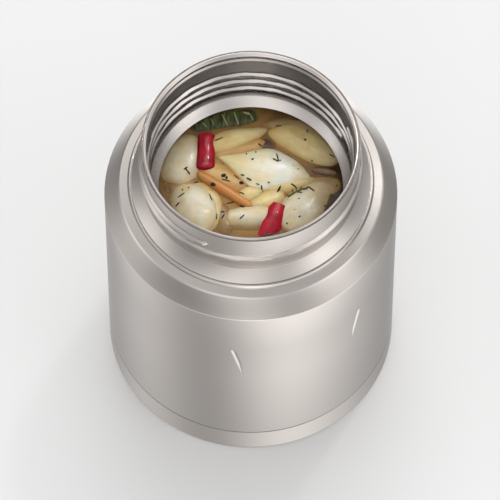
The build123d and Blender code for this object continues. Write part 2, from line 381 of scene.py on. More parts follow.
def press_wedge(piece, bearing, side):
    """Presses a wedge into the body's front, leaning to one side: its outline is in mm from a
    point at a bearing in degrees, as it's seen from outside."""
    lean, width, waist_share = 2.0, 1.5, 0.54
    depth, slope = 0.4, 0.5
    field = 3.6  # of finer faces, to each side
    wall_tolerance = 0.1 * MM
    foot, head = (-lean, 0), (lean, wedge_rise)
    waist = (lean * (2 * waist_share - 1) - width, wedge_rise * waist_share)
    outline = [foot, head, (lean - width, wedge_rise), waist]
    edges = list(zip(outline, outline[1:] + outline[:1]))

    def place(point):
        turn = math.degrees(math.atan2(point.x, -point.y)) - bearing
        return side * math.radians(turn) * body_radius / MM, point.z / MM - wedge_foot

    bpy.ops.object.select_all(action="DESELECT")
    piece.select_set(True)
    bpy.context.view_layer.objects.active = piece
    bpy.ops.object.mode_set(mode="EDIT")
    bpy.ops.mesh.select_mode(type="FACE")
    bpy.ops.mesh.select_all(action="DESELECT")
    bpy.ops.object.mode_set(mode="OBJECT")
    for face in piece.data.polygons:
        x, z = place(face.center)
        on_wall = abs(face.center.xy.length - body_radius) < wall_tolerance
        in_rows = -wedge_margin < z < wedge_rise + wedge_margin
        face.select = on_wall and face.center.y < 0 and abs(x) < field and in_rows
    bpy.ops.object.mode_set(mode="EDIT")
    bpy.ops.mesh.subdivide(number_cuts=3)
    bpy.ops.mesh.select_mode(type="VERT")
    bpy.ops.object.mode_set(mode="OBJECT")
    for vertex in piece.data.vertices:
        if abs(vertex.co.xy.length - body_radius) > wall_tolerance or vertex.co.y > 0:
            continue
        x, z = place(vertex.co)
        inside = min(
            ((bx - ax) * (z - ay) - (by - ay) * (x - ax)) / math.dist((ax, ay), (bx, by))
            for (ax, ay), (bx, by) in edges
        )
        if inside > 0:
            share = min(1, inside / slope)
            push = depth * MM * share * share * (3 - 2 * share)
            vertex.co.xy *= 1 - push / vertex.co.xy.length


wedge_middle = 20.2  # degrees round from the front
wedge_spread = 51.5
press_wedge(shell_piece, wedge_middle - wedge_spread / 2, -1)
press_wedge(shell_piece, wedge_middle + wedge_spread / 2, 1)
smooth(shell_piece)

# Brushed on a lathe: it mirrors softly, and draws each light out along the jar. Real brush
# lines are finer than 0.1 mm, and these are coarser so that they show.
satin_steel = new_material("satin_stainless_steel")
brush_line_length, brush_line_height = 33.3, 0.35
level, upright = 1 / (brush_line_length * MM), 1 / (brush_line_height * MM)
place = add_node(satin_steel, "ShaderNodeTexCoord")
grain_place = add_node(
    satin_steel,
    "ShaderNodeMapping",
    {"Scale": (level, level, upright)},
    {"Vector": (place, "Object")},
)
grain = add_node(
    satin_steel,
    "ShaderNodeTexNoise",
    {"Scale": 1, "Detail": 4, "Roughness": 0.6},
    {"Vector": (grain_place, "Vector")},
)
satin_roughness = add_node(
    satin_steel,
    "ShaderNodeMapRange",
    {"From Min": 0.3, "From Max": 0.7, "To Min": 0.20, "To Max": 0.25},
    {"Value": (grain, "Fac")},
)
satin_bump = add_node(
    satin_steel,
    "ShaderNodeBump",
    {"Strength": 0.04, "Distance": 0.05 * MM},
    {"Height": (grain, "Fac")},
)
round_jar = add_node(satin_steel, "ShaderNodeTangent", direction_type="RADIAL", axis="Z")
satin_shader = add_node(
    satin_steel,
    "ShaderNodeBsdfPrincipled",
    {
        "Base Color": linear("#b9b3ae"),
        "Metallic": 1,
        "Anisotropic": 0.5,
        "Anisotropic Rotation": 0.25,
    },
    {
        "Roughness": (satin_roughness, "Result"),
        "Normal": (satin_bump, "Normal"),
        "Tangent": (round_jar, "Tangent"),
    },
)
add_node(satin_steel, "ShaderNodeOutputMaterial", links={"Surface": (satin_shader, "BSDF")})
shell_piece.data.materials.append(satin_steel)
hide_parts("outer_shell")
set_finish(shell_piece, "satin_steel")
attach(shell_piece, "root")

# ---- Inner liner ----------------------------------------------------------------------------
# The drawn food vessel: 0.5 mm stainless sheet with the rim that joins it to the shell, the
# gallery under the rim, the stopper's thread rolled inwards, and the ledge that it seals on.

liner_wall = 0.5
rim_top = 126.3
rim_bore = 35.0
rim_bend = 0.55
gallery_radius = 35.4
gallery_foot = 123.0
neck_bore = 34.7
bore_top = 122.2
bore_foot = 101.6
ledge = (33.9, 100.5)
mouth_radius = 30.3
mouth_height = 97.8
belly_radius = 44.2
belly_top = 86.8
weld_height = 22.0
rim_corners = [
    (neck_radius, neck_top),
    (neck_radius, rim_top),
    (rim_bore, rim_top),
    (rim_bore, neck_top),
]
liner_corners = [
    (gallery_radius, neck_top),
    (gallery_radius, gallery_foot),
    (neck_bore, bore_top),
    (neck_bore, bore_foot),
    ledge,
    (mouth_radius, mouth_height),
    (belly_radius, belly_top),
    (belly_radius, weld_height),
]
liner_bends = [0.3, 0.5, 0.4, 0.4, 1.2, 5.0]
rim_face = rounded(rim_corners, [rim_bend, rim_bend])
vessel_face = divided(rounded(liner_corners, liner_bends), bore_foot, bore_top)
vessel_back = other_side(liner_corners, -liner_wall)
liner_piece = turned("liner", rim_face + vessel_face + vessel_back[::-1] + rim_face[:1])
roll_thread(
    liner_piece,
    wall_radius=neck_bore,
    crest=-0.9,
    half_width=0.9,
    pitch=thread_pitch,
    start=27,
    end=1100,
    start_height=104.0,
)
smooth(liner_piece)

# Bright rolled sheet, drawn to shape: an even, quiet shine
rolled_grain = 1.11
liner_steel = new_material("bright_rolled_stainless_steel")
place = add_node(liner_steel, "ShaderNodeTexCoord")
rolling = add_node(
    liner_steel,
    "ShaderNodeTexNoise",
    {"Scale": 1 / (rolled_grain * MM), "Detail": 3},
    {"Vector": (place, "Object")},
)
liner_roughness = add_node(
    liner_steel,
    "ShaderNodeMapRange",
    {"From Min": 0.3, "From Max": 0.7, "To Min": 0.20, "To Max": 0.24},
    {"Value": (rolling, "Fac")},
)
round_liner = add_node(liner_steel, "ShaderNodeTangent", direction_type="RADIAL", axis="Z")
liner_shader = add_node(
    liner_steel,
    "ShaderNodeBsdfPrincipled",
    {
        "Base Color": linear("#bdb7b3"),
        "Metallic": 1,
        "Anisotropic": 0.5,
        "Anisotropic Rotation": 0.25,
    },
    {"Roughness": (liner_roughness, "Result"), "Tangent": (round_liner, "Tangent")},
)
add_node(liner_steel, "ShaderNodeOutputMaterial", links={"Surface": (liner_shader, "BSDF")})
liner_piece.data.materials.append(liner_steel)

# The polishing bath leaves the steel of the vessel pale, with a broad glow and no lines. It is
# paler than real so that the neck picks up some of the glow.
polished_below = 97.0
electropolished = new_material("electropolished_stainless_steel")
place = add_node(electropolished, "ShaderNodeTexCoord")
etching = add_node(
    electropolished,
    "ShaderNodeTexNoise",
    {"Scale": 1 / (3 * MM), "Detail": 4},
    {"Vector": (place, "Object")},
)
etched_roughness = add_node(
    electropolished,
    "ShaderNodeMapRange",
    {"To Min": 0.4, "To Max": 0.6},
    {"Value": (etching, "Fac")},
)
polished_shader = add_node(
    electropolished,
    "ShaderNodeBsdfPrincipled",
    {"Base Color": linear("#f4f1ee"), "Metallic": 1},
    {"Roughness": (etched_roughness, "Result")},
)
add_node(electropolished, "ShaderNodeOutputMaterial", links={"Surface": (polished_shader, "BSDF")})
liner_piece.data.materials.append(electropolished)
for face in liner_piece.data.polygons:
    if face.center.z < polished_below * MM:
        face.material_index = 1
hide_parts("inner_liner")
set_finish(liner_piece, "liner_steel")
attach(liner_piece, "root")

# ---- Base cap -------------------------------------------------------------------------------
# A shallow pressed cup that closes the jar's foot, brushed like the shell. It stays as it is in
# the CAD model.


def repaint(node, material):
    """Gives a CAD node that stays as it is a new material."""
    target = frame["nodes"][node]
    for slot in target.material_slots:
        slot.material = material


repaint("base_cap", satin_steel)

# ---- Vessel bottom --------------------------------------------------------------------------
# The pressed bottom of the food vessel, stainless sheet, welded to the drawn wall and
# electropolished with it. It stays as it is in the CAD model.

repaint("liner_bottom", electropolished)

# ---- Vacuum base, getter and its clip -------------------------------------------------------
# The pressed steel plate that closes the vacuum, and the getter that keeps the vacuum good,
# held on the plate's inner face by a steel strap. They are heated in the furnace together, and
# stay as they are in the CAD model.


def ramp(material, tone, output, stops):
    """A colour ramp over a value: pairs of a position and an sRGB hex colour."""
    node = add_node(material, "ShaderNodeValToRGB", links={"Fac": (tone, output)})
    elements = node.color_ramp.elements
    elements[0].position, elements[0].color = stops[0][0], linear(stops[0][1])
    elements[1].position, elements[1].color = stops[-1][0], linear(stops[-1][1])
    for position, colour in stops[1:-1]:
        elements.new(position).color = linear(colour)
    return node


# The furnace's heat leaves a thin oxide: dull grey with straw-coloured patches
tinted_steel = new_material("furnace_tinted_steel")
place = add_node(tinted_steel, "ShaderNodeTexCoord")
heat = add_node(
    tinted_steel,
    "ShaderNodeTexNoise",
    {"Scale": 1 / (12 * MM), "Detail": 3},
    {"Vector": (place, "Object")},
)
heat_stops = [(0.35, "#b4b2af"), (0.6, "#b8ab96"), (0.75, "#a3957f")]
heat_tone = ramp(tinted_steel, heat, "Fac", heat_stops)
tinted_shader = add_node(
    tinted_steel,
    "ShaderNodeBsdfPrincipled",
    {"Metallic": 1, "Roughness": 0.38},
    {"Base Color": (heat_tone, "Color")},
)
add_node(tinted_steel, "ShaderNodeOutputMaterial", links={"Surface": (tinted_shader, "BSDF")})
repaint("vacuum_base", tinted_steel)
repaint("getter_clip", tinted_steel)

# Powder pressed and fired: dark, dull and grainy, with its grains drawn coarse enough to show
sintered_alloy = new_material("sintered_getter_alloy")
place = add_node(sintered_alloy, "ShaderNodeTexCoord")
pores = add_node(
    sintered_alloy,
    "ShaderNodeTexNoise",
    {"Scale": 1 / (0.15 * MM), "Detail": 3},
    {"Vector": (place, "Object")},
)
pore_bump = add_node(
    sintered_alloy,
    "ShaderNodeBump",
    {"Strength": 0.6, "Distance": 0.05 * MM},
    {"Height": (pores, "Fac")},
)
pore_tone = ramp(sintered_alloy, pores, "Fac", [(0.3, "#3b3b3d"), (0.7, "#6d6c6e")])
sintered_shader = add_node(
    sintered_alloy,
    "ShaderNodeBsdfPrincipled",
    {"Metallic": 0.7, "Roughness": 0.75},
    {"Base Color": (pore_tone, "Color"), "Normal": (pore_bump, "Normal")},
)
add_node(sintered_alloy, "ShaderNodeOutputMaterial", links={"Surface": (sintered_shader, "BSDF")})
repaint("getter", sintered_alloy)

# ---- Seal bead ------------------------------------------------------------------------------
# A drop of sealing glass, melted over the port in the vacuum furnace. It stays as it is in the
# CAD model.

# Fired glass: dark, a little see-through, with a wet shine
seal_glass = new_material("fired_sealing_glass")
glass_shader = add_node(
    seal_glass,
    "ShaderNodeBsdfPrincipled",
    {
        "Base Color": linear("#6a655c"),
        "Roughness": 0.08,
        "IOR": 1.6,
        "Transmission Weight": 0.5,
    },
)
add_node(seal_glass, "ShaderNodeOutputMaterial", links={"Surface": (glass_shader, "BSDF")})
repaint("seal_bead", seal_glass)

# ---- Foil -----------------------------------------------------------------------------------
# Thin copper foil round the vessel and under its bottom, which keeps radiant heat in. It is
# wrapped by hand, so it carries fine creases.

# Bare copper: a warm mirror, broken up by creases some 7 mm apart
copper_foil = new_material("creased_copper_foil")
place = add_node(copper_foil, "ShaderNodeTexCoord")
creases = add_node(
    copper_foil,
    "ShaderNodeTexVoronoi",
    {"Scale": 1 / (7 * MM)},
    {"Vector": (place, "Object")},
    feature="DISTANCE_TO_EDGE",
)
crease_bump = add_node(
    copper_foil,
    "ShaderNodeBump",
    {"Strength": 0.5, "Distance": 0.2 * MM},
    {"Height": (creases, "Distance")},
)
foil_shader = add_node(
    copper_foil,
    "ShaderNodeBsdfPrincipled",
    {"Base Color": linear("#d8a080"), "Metallic": 1, "Roughness": 0.22},
    {"Normal": (crease_bump, "Normal")},
)
add_node(copper_foil, "ShaderNodeOutputMaterial", links={"Surface": (foil_shader, "BSDF")})
repaint("foil_wrap", copper_foil)
repaint("foil_disc", copper_foil)

# ---- Bond ring ------------------------------------------------------------------------------
# A bead of adhesive that holds the base cap on the shell's swaged end, spread by hand and left
# to cure. It stays as it is in the CAD model.

# Cured adhesive: off-white, half matt and a little lumpy
adhesive = new_material("cured_adhesive")
place = add_node(adhesive, "ShaderNodeTexCoord")
lumps = add_node(
    adhesive,
    "ShaderNodeTexNoise",
    {"Scale": 1 / (2 * MM), "Detail": 2},
    {"Vector": (place, "Object")},
)
lump_bump = add_node(
    adhesive,
    "ShaderNodeBump",
    {"Strength": 0.4, "Distance": 0.2 * MM},
    {"Height": (lumps, "Fac")},
)
adhesive_shader = add_node(
    adhesive,
    "ShaderNodeBsdfPrincipled",
    {"Base Color": linear("#dbd8cf"), "Roughness": 0.55},
    {"Normal": (lump_bump, "Normal")},
)
add_node(adhesive, "ShaderNodeOutputMaterial", links={"Surface": (adhesive_shader, "BSDF")})
repaint("bond_ring", adhesive)

# ---- Broth ----------------------------------------------------------------------------------
# Cloudy vegetable broth: a dense body that fills the vessel, under a thin amber layer in which
# the pieces lie awash. Both are turned to the vessel's wall, and painted darker along it, as
# shade.

vessel_floor = 14.0
floor_bend = 6.0
broth_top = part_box("broth")[1].z / MM
cloud_depth = 1.2
least_shaded_spot = (-5.0, 7.0)  # where the painted shade is least, a little left of the axis
wall_gap = 0.2


def vessel_radius(height):
    """The vessel's inner radius at a height in mm, on its sloping shoulder or its belly."""
    slope = (belly_radius - mouth_radius) / (mouth_height - belly_top)
    return min(belly_radius, mouth_radius + slope * (mouth_height - height))


def broth_clouds_and_wall_shade(material, patch_mm, unevenness):
    """Painted shade: a value from 0 at the least shaded spot to 1 by the wall, shifted by cloudy
    patches.
    """
    spot = add_node(material, "ShaderNodeTexCoord")
    flat = add_node(
        material,
        "ShaderNodeMapping",
        {"Scale": (1, 1, 0), "Location": (-least_shaded_spot[0] * MM, -least_shaded_spot[1] * MM, 0)},
        {"Vector": (spot, "Object")},
    )
    out = add_node(
        material, "ShaderNodeVectorMath", links={0: (flat, "Vector")}, operation="LENGTH"
    )
    clouds = add_node(
        material,
        "ShaderNodeTexNoise",
        {"Scale": 1 / (patch_mm * MM), "Detail": 3, "Roughness": 0.55, "Distortion": 0.4},
        {"Vector": (spot, "Object")},
    )
    shift = add_node(
        material,
        "ShaderNodeMath",
        {1: unevenness, 2: -unevenness / 2},
        {0: (clouds, "Fac")},
        operation="MULTIPLY_ADD",
    )
    tone = add_node(
        material,
        "ShaderNodeMath",
        {1: 1 / (vessel_radius(broth_top) * MM)},
        {0: (out, "Value"), 2: (shift, "Value")},
        operation="MULTIPLY_ADD",
    )
    return tone, clouds


cloud_top = broth_top - cloud_depth
cloud_line = [
    (0, vessel_floor),
    (belly_radius - floor_bend, vessel_floor),
    (belly_radius - wall_gap, vessel_floor + floor_bend),
    (belly_radius - wall_gap, belly_top),
    (vessel_radius(cloud_top) - wall_gap, cloud_top),
    (0, cloud_top),
]
cloud_piece = turned("broth_body", cloud_line)
smooth(cloud_piece)

# Cloudy broth: a soft amber, painted brown by the wall as shade, with hardly a shine of its own
broth_body = new_material("cloudy_vegetable_broth")
tone, _ = broth_clouds_and_wall_shade(broth_body, patch_mm=8, unevenness=0.7)
cloud_stops = [(0.2, "#d8a45c"), (0.5, "#b98a50"), (0.8, "#7c5638"), (1.05, "#3f2b1c")]
cloud_colour = ramp(broth_body, tone, "Value", cloud_stops)
cloud_shader = add_node(
    broth_body,
    "ShaderNodeBsdfPrincipled",
    {"Roughness": 0.5, "Specular IOR Level": 0.2},
    {"Base Color": (cloud_colour, "Color")},
)
add_node(broth_body, "ShaderNodeOutputMaterial", links={"Surface": (cloud_shader, "BSDF")})
cloud_piece.data.materials.append(broth_body)
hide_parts("broth")
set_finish(cloud_piece, "broth")
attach(cloud_piece, "root")

film_line = [(0, broth_top), (vessel_radius(broth_top) - wall_gap, broth_top)]
film_piece = turned("broth_surface", film_line)
smooth(film_piece)

# The clear top of the broth: it tints what lies just under it and shines a little
thin_broth = new_material("thin_amber_broth")
tone, clouds = broth_clouds_and_wall_shade(thin_broth, patch_mm=7, unevenness=0.5)
# Shade is painted on the layer as well: it is darker and less see-through towards the wall
film_stops = [(0.2, "#dcb06c"), (0.6, "#bd9658"), (0.85, "#856640"), (1.05, "#3f2d1d")]
film_colour = ramp(thin_broth, tone, "Value", film_stops)
film_cover = add_node(
    thin_broth,
    "ShaderNodeMapRange",
    {"From Min": 0.5, "From Max": 1.05, "To Min": 0.3, "To Max": 0.7},
    {"Value": (tone, "Value")},
)
ripple = add_node(
    thin_broth,
    "ShaderNodeBump",
    {"Strength": 0.2, "Distance": 0.4 * MM},
    {"Height": (clouds, "Fac")},
)
film_shader = add_node(
    thin_broth,
    "ShaderNodeBsdfPrincipled",
    {"Roughness": 0.1, "IOR": 1.34, "Specular IOR Level": 0.25},
    {
        "Base Color": (film_colour, "Color"),
        "Alpha": (film_cover, "Result"),
        "Normal": (ripple, "Normal"),
    },
)
add_node(thin_broth, "ShaderNodeOutputMaterial", links={"Surface": (film_shader, "BSDF")})
film_piece.data.materials.append(thin_broth)
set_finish(film_piece, "broth")
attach(film_piece, "root")

# ---- Onions ---------------------------------------------------------------------------------
# Small onions cooked soft, halved and slipping into layers. Each lies awash in the broth, and
# its flesh goes from white to amber where the broth has soaked in.


def between(values, share):
    """A smooth curve through evenly spaced values, at a share of its length."""
    place = share * (len(values) - 1)
    number = min(int(place), len(values) - 2)
    part = place - number
    near = [values[min(max(number + step, 0), len(values) - 1)] for step in (-1, 0, 1, 2)]
    slope_in, slope_out = (near[2] - near[0]) / 2, (near[3] - near[1]) / 2
    return (
        near[1] * (2 * part**3 - 3 * part**2 + 1)
        + slope_in * (part**3 - 2 * part**2 + part)
        + near[2] * (3 * part**2 - 2 * part**3)
        + slope_out * (part**3 - part**2)
    )


def dress(piece, material, slot, *nodes):
    """Gives a piece of the soup its material and slot, and hides the CAD nodes that it stands for.
    """
    piece.data.materials.append(material)
    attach(piece, "root")
    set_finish(piece, slot)
    if nodes:
        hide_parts(*nodes)


def rounded_piece(name, material, slot, *nodes, tip, root, left, right, top, bottom, edge, seed):
    """A soft piece from tip to root, in mm: its reach to each side at five places between them,
    and the heights of its top, its bottom and its outer edge over the broth."""
    wall_clearance = 0.5
    fullness_power = 0.6  # under 1, so that the piece stays full towards its ends
    wobble_height, wobble_spacing = 0.35, 6
    bpy.ops.object.select_all(action="DESELECT")
    bpy.ops.mesh.primitive_uv_sphere_add(segments=80, ring_count=56, radius=1)
    piece = bpy.context.object
    piece.name = name
    tip, root = Vector(tip), Vector(root)
    run = root - tip
    across = Vector((-run.y, run.x)).normalized()
    left, right = (0, *left, 0), (0, *right, 0)
    widest = max(a + b for a, b in zip(left, right)) / 2
    for vertex in piece.data.vertices:
        turn = math.acos(max(-1, min(1, -vertex.co.z))) / math.pi
        swing = math.atan2(vertex.co.y, vertex.co.x)
        reach_left, reach_right = between(left, turn), between(right, turn)
        half = max(0, (reach_left + reach_right) / 2)
        fullness = (half / widest) ** fullness_power
        side = (reach_left - reach_right) / 2 + half * math.cos(swing)
        swell = (top if math.sin(swing) > 0 else bottom) - edge
        lift = swell * fullness * abs(math.sin(swing))
        point = tip + run * (1 + vertex.co.z) / 2 + across * side
        spot = Vector((point.x, point.y, lift)) / wobble_spacing + Vector((0, 0, seed))
        lift += wobble_height * noise.noise(spot) * (1 - abs(vertex.co.z) ** 4)
        height = broth_top + edge + lift
        reach = vessel_radius(height) - wall_clearance
        if point.length > reach:
            point *= reach / point.length
        vertex.co = Vector((point.x, point.y, height)) * MM
    bpy.ops.object.shade_smooth()
    dress(piece, material, slot, *nodes)


colour_a, colour_b, colour_out = 6, 7, 2  # sockets of a mix node that mixes colours


def soft_flesh(
    name,
    along,
    soaked_tone,
    stain_tone="#e0bd72",
    vein_strength=0.12,
    soak_low=-0.7,
    soak_high=1.3,
):
    """Soft cooked flesh: wet and a little translucent, its tones along it from tip to root, with
    fine veins, and the broth's colour soaked in between two heights over the broth, in mm.
    Shade is painted on the pieces by the vessel's wall, as a dull brown."""
    veins_round, veins_along = 70, 1.5
    soak_unevenness = 2.0  # mm, half of it up on average
    even_top = broth_top + soak_unevenness / 2
    flesh = new_material(name)
    place = add_node(flesh, "ShaderNodeTexCoord")
    unrolled = add_node(flesh, "ShaderNodeSeparateXYZ", links={"Vector": (place, "UV")})
    tone = ramp(flesh, unrolled, "Y", along)
    vein_place = add_node(
        flesh,
        "ShaderNodeMapping",
        {"Scale": (veins_round, veins_along, 1)},
        {"Vector": (place, "UV")},
    )
    veins = add_node(
        flesh,
        "ShaderNodeTexNoise",
        {"Scale": 1, "Detail": 3, "Roughness": 0.6},
        {"Vector": (vein_place, "Vector")},
    )
    vein_mask = add_node(
        flesh,
        "ShaderNodeMapRange",
        {"From Min": 0.48, "From Max": 0.72, "To Max": vein_strength},
        {"Value": (veins, "Fac")},
    )
    patches = add_node(
        flesh,
        "ShaderNodeTexNoise",
        {"Scale": 1 / (5 * MM), "Detail": 2},
        {"Vector": (place, "Object")},
    )
    stain_mask = add_node(
        flesh,
        "ShaderNodeMapRange",
        {"From Min": 0.4, "From Max": 0.7, "To Max": 0.6},
        {"Value": (patches, "Fac")},
    )
    stained = add_node(
        flesh,
        "ShaderNodeMix",
        {colour_b: linear(stain_tone)},
        {"Factor": (stain_mask, "Result"), colour_a: (tone, "Color")},
        data_type="RGBA",
    )
    veined = add_node(
        flesh,
        "ShaderNodeMix",
        {colour_b: linear(soaked_tone)},
        {"Factor": (vein_mask, "Result"), colour_a: (stained, colour_out)},
        data_type="RGBA",
    )
    upright = add_node(flesh, "ShaderNodeSeparateXYZ", links={"Vector": (place, "Object")})
    uneven = add_node(
        flesh,
        "ShaderNodeMath",
        {1: soak_unevenness * MM},
        {0: (patches, "Fac"), 2: (upright, "Z")},
        operation="MULTIPLY_ADD",
    )
    soaking = add_node(
        flesh,
        "ShaderNodeMapRange",
        {
            "From Min": (even_top + soak_low) * MM,
            "From Max": (even_top + soak_high) * MM,
            "To Min": 1,
            "To Max": 0,
        },
        {"Value": (uneven, "Value")},
    )
    soaked = add_node(
        flesh,
        "ShaderNodeMix",
        {colour_b: linear(soaked_tone)},
        {"Factor": (soaking, "Result"), colour_a: (veined, colour_out)},
        data_type="RGBA",
    )
    # Shade painted by the vessel's wall: the flesh turns a dull brown there
    outward, _ = broth_clouds_and_wall_shade(flesh, patch_mm=6, unevenness=0.7)
    wall_shade_share = add_node(
        flesh,
        "ShaderNodeMapRange",
        {"From Min": 0.5, "From Max": 1.1, "To Max": 0.6},
        {"Value": (outward, "Value")},
    )
    wall_shaded = add_node(
        flesh,
        "ShaderNodeMix",
        {colour_b: linear("#8a7040")},
        {"Factor": (wall_shade_share, "Result"), colour_a: (soaked, colour_out)},
        data_type="RGBA",
    )
    grain = add_node(
        flesh,
        "ShaderNodeBump",
        {"Strength": 0.2, "Distance": 0.1 * MM},
        {"Height": (veins, "Fac")},
    )
    shader = add_node(
        flesh,
        "ShaderNodeBsdfPrincipled",
        {
            "Roughness": 0.25,
            "IOR": 1.38,
            "Subsurface Weight": 0.3,
            "Subsurface Radius": (1.0, 0.7, 0.4),
            "Subsurface Scale": 1.0 * MM,
            "Coat Weight": 0.25,
            "Coat Roughness": 0.2,
        },
        {"Base Color": (wall_shaded, colour_out), "Normal": (grain, "Normal")},
    )
    add_node(flesh, "ShaderNodeOutputMaterial", links={"Surface": (shader, "BSDF")})
    return flesh


# The inner layers go cream towards both ends, and the near-white middle is white flesh with a
# painted highlight
white_onion = soft_flesh(
    "white_onion_flesh",
    [(0.05, "#efe6c0"), (0.3, "#f2e2aa"), (0.6, "#fffdf0"), (0.9, "#f6ecc8")],
    "#b98a45",
    stain_tone="#f3dc9c",
    soak_low=-0.9,
    soak_high=0.5,
)
# Cooked through, the flesh is a soft yellow
yellow_onion = soft_flesh(
    "yellow_onion_flesh",
    [(0.05, "#dcbb74"), (0.5, "#efdc9e"), (0.95, "#e6dcae")],
    "#c39a56",
)
# A loose layer takes up the broth, and turns amber towards its root
amber_onion = soft_flesh(
    "amber_onion_flesh",
    [(0.05, "#e0c587"), (0.4, "#e2bd76"), (0.95, "#c98f4e")],
    "#b57f42",
)
# Less cooked, the flesh is a dull cream
pale_onion = soft_flesh(
    "pale_onion_flesh",
    [(0.05, "#e3dbb4"), (0.5, "#e9e5d0"), (0.95, "#d9d0a8")],
    "#bd9555",
)
# A layer just under the broth looks tan
dim_onion = soft_flesh(
    "sunken_onion_flesh",
    [(0.05, "#c29a5e"), (0.5, "#cbb183"), (0.95, "#b79a70")],
    "#8f6c40",
    stain_tone="#b9a070",
)

rounded_piece(
    "cooked_onion_1", white_onion, "onion", "onion_1",
    tip=(-12.2, 13.6), root=(20.8, 3.8),
    left=(1.3, 4.2, 8.6, 6.9, 3.0), right=(0.9, 5.0, 8.9, 5.2, 1.6),
    top=2.6, bottom=-7.0, edge=-0.9, seed=1,
)
rounded_piece(
    "cooked_onion_2", yellow_onion, "onion", "onion_2",
    tip=(5.0, 23.5), root=(30.5, 11.4),
    left=(3.4, 7.6, 7.6, 6.0, 4.2), right=(2.2, 3.8, 5.0, 5.4, 3.6),
    top=2.1, bottom=-6.0, edge=-2.0, seed=2,
)
rounded_piece(
    "onion_2_layer", dim_onion, "onion",
    tip=(3.0, 26.4), root=(29.0, 17.0),
    left=(2.6, 5.4, 7.0, 6.4, 4.0), right=(0.8, 2.0, 2.5, 2.5, 1.3),
    top=1.0, bottom=-4.0, edge=-1.6, seed=3,
)
rounded_piece(
    "cooked_onion_3", yellow_onion, "onion", "onion_3",
    tip=(-14.6, 17.2), root=(6.2, 24.6),
    left=(3.4, 4.6, 4.2, 2.8, 1.4), right=(3.6, 4.6, 4.2, 3.2, 1.8),
    top=2.0, bottom=-4.0, edge=-1.6, seed=4,
)
rounded_piece(
    "onion_3_layer", amber_onion, "onion",
    tip=(-12.6, 14.0), root=(6.0, 19.0),
    left=(1.8, 3.0, 3.4, 3.4, 2.0), right=(1.6, 2.6, 3.0, 2.8, 1.4),
    top=0.7, bottom=-3.0, edge=-1.0, seed=5,
)
rounded_piece(
    "cooked_onion_4", pale_onion, "onion", "onion_4",
    tip=(-20.0, 23.0), root=(-24.6, 1.6),
    left=(4.2, 6.2, 7.4, 7.2, 5.0), right=(4.6, 7.8, 9.4, 9.0, 7.0),
    top=1.5, bottom=-6.0, edge=-2.4, seed=6,
)
rounded_piece(
    "cooked_onion_5", pale_onion, "onion", "onion_5",
    tip=(-23.6, 3.2), root=(-14.6, -17.0),
    left=(4.6, 8.0, 9.2, 7.6, 3.8), right=(5.0, 7.4, 8.2, 7.6, 5.4),
    top=2.2, bottom=-7.0, edge=-2.2, seed=7,
)
rounded_piece(
    "onion_5_layer", yellow_onion, "onion",
    tip=(-22.0, 3.6), root=(-14.4, -16.4),
    left=(4.6, 7.8, 9.0, 7.4, 3.4), right=(1.0, 2.0, 3.0, 2.0, 1.0),
    top=0.8, bottom=-6.0, edge=-0.4, seed=8,
)
rounded_piece(
    "cooked_onion_6", pale_onion, "onion", "onion_6",
    tip=(10.6, -15.0), root=(26.6, 4.6),
    left=(4.6, 7.6, 8.2, 6.4, 3.6), right=(6.0, 8.2, 8.0, 6.0, 4.0),
    top=2.0, bottom=-7.0, edge=-2.2, seed=9,
)
rounded_piece(
    "cooked_onion_7", pale_onion, "onion", "onion_7",
    tip=(-8.6, -10.6), root=(8.0, -10.0),
    left=(3.8, 4.8, 5.8, 6.4, 4.6), right=(3.4, 4.0, 4.4, 4.0, 3.0),
    top=1.6, bottom=-5.0, edge=-1.8, seed=10,
)
rounded_piece(
    "onion_7_layer", yellow_onion, "onion",
    tip=(-1.6, -6.0), root=(11.6, -0.6),
    left=(2.0, 3.4, 4.0, 3.6, 2.4), right=(2.6, 4.0, 4.6, 4.2, 2.8),
    top=1.4, bottom=-4.0, edge=-1.6, seed=11,
)
rounded_piece(
    "cooked_onion_8", pale_onion, "onion", "onion_8",
    tip=(-17.0, -22.0), root=(-1.0, -26.0),
    left=(2.8, 5.0, 6.2, 5.4, 2.8), right=(2.8, 5.0, 6.2, 5.4, 2.8),
    top=1.2, bottom=-6.0, edge=-3.0, seed=12,
)
rounded_piece(
    "cooked_onion_9", yellow_onion, "onion", "onion_9",
    tip=(4.5, -28.0), root=(19.5, -22.0),
    left=(2.2, 4.3, 5.0, 4.5, 2.2), right=(2.2, 4.3, 5.0, 4.5, 2.2),
    top=1.1, bottom=-5.0, edge=-3.0, seed=13,
)
rounded_piece(
    "onion_slice", amber_onion, "onion",
    tip=(-19.0, 9.6), root=(-1.0, 0.0),
    left=(3.6, 5.4, 5.8, 4.6, 2.6), right=(1.8, 3.0, 3.4, 3.0, 2.0),
    top=1.1, bottom=-3.0, edge=-1.4, seed=14,
)
rounded_piece(
    "onion_chunk", yellow_onion, "onion",
    tip=(-4.6, -2.4), root=(4.0, 0.0),
    left=(1.6, 2.8, 3.2, 2.6, 1.6), right=(2.0, 3.2, 3.4, 2.8, 1.6),
    top=1.8, bottom=-3.0, edge=-0.8, seed=15,
)
rounded_piece(
    "onion_rim", yellow_onion, "onion",
    tip=(3.6, -0.2), root=(23.0, 4.6),
    left=(1.8, 3.2, 3.4, 2.8, 1.6), right=(1.4, 2.6, 2.8, 2.4, 1.2),
    top=1.0, bottom=-3.0, edge=-1.2, seed=16,
)
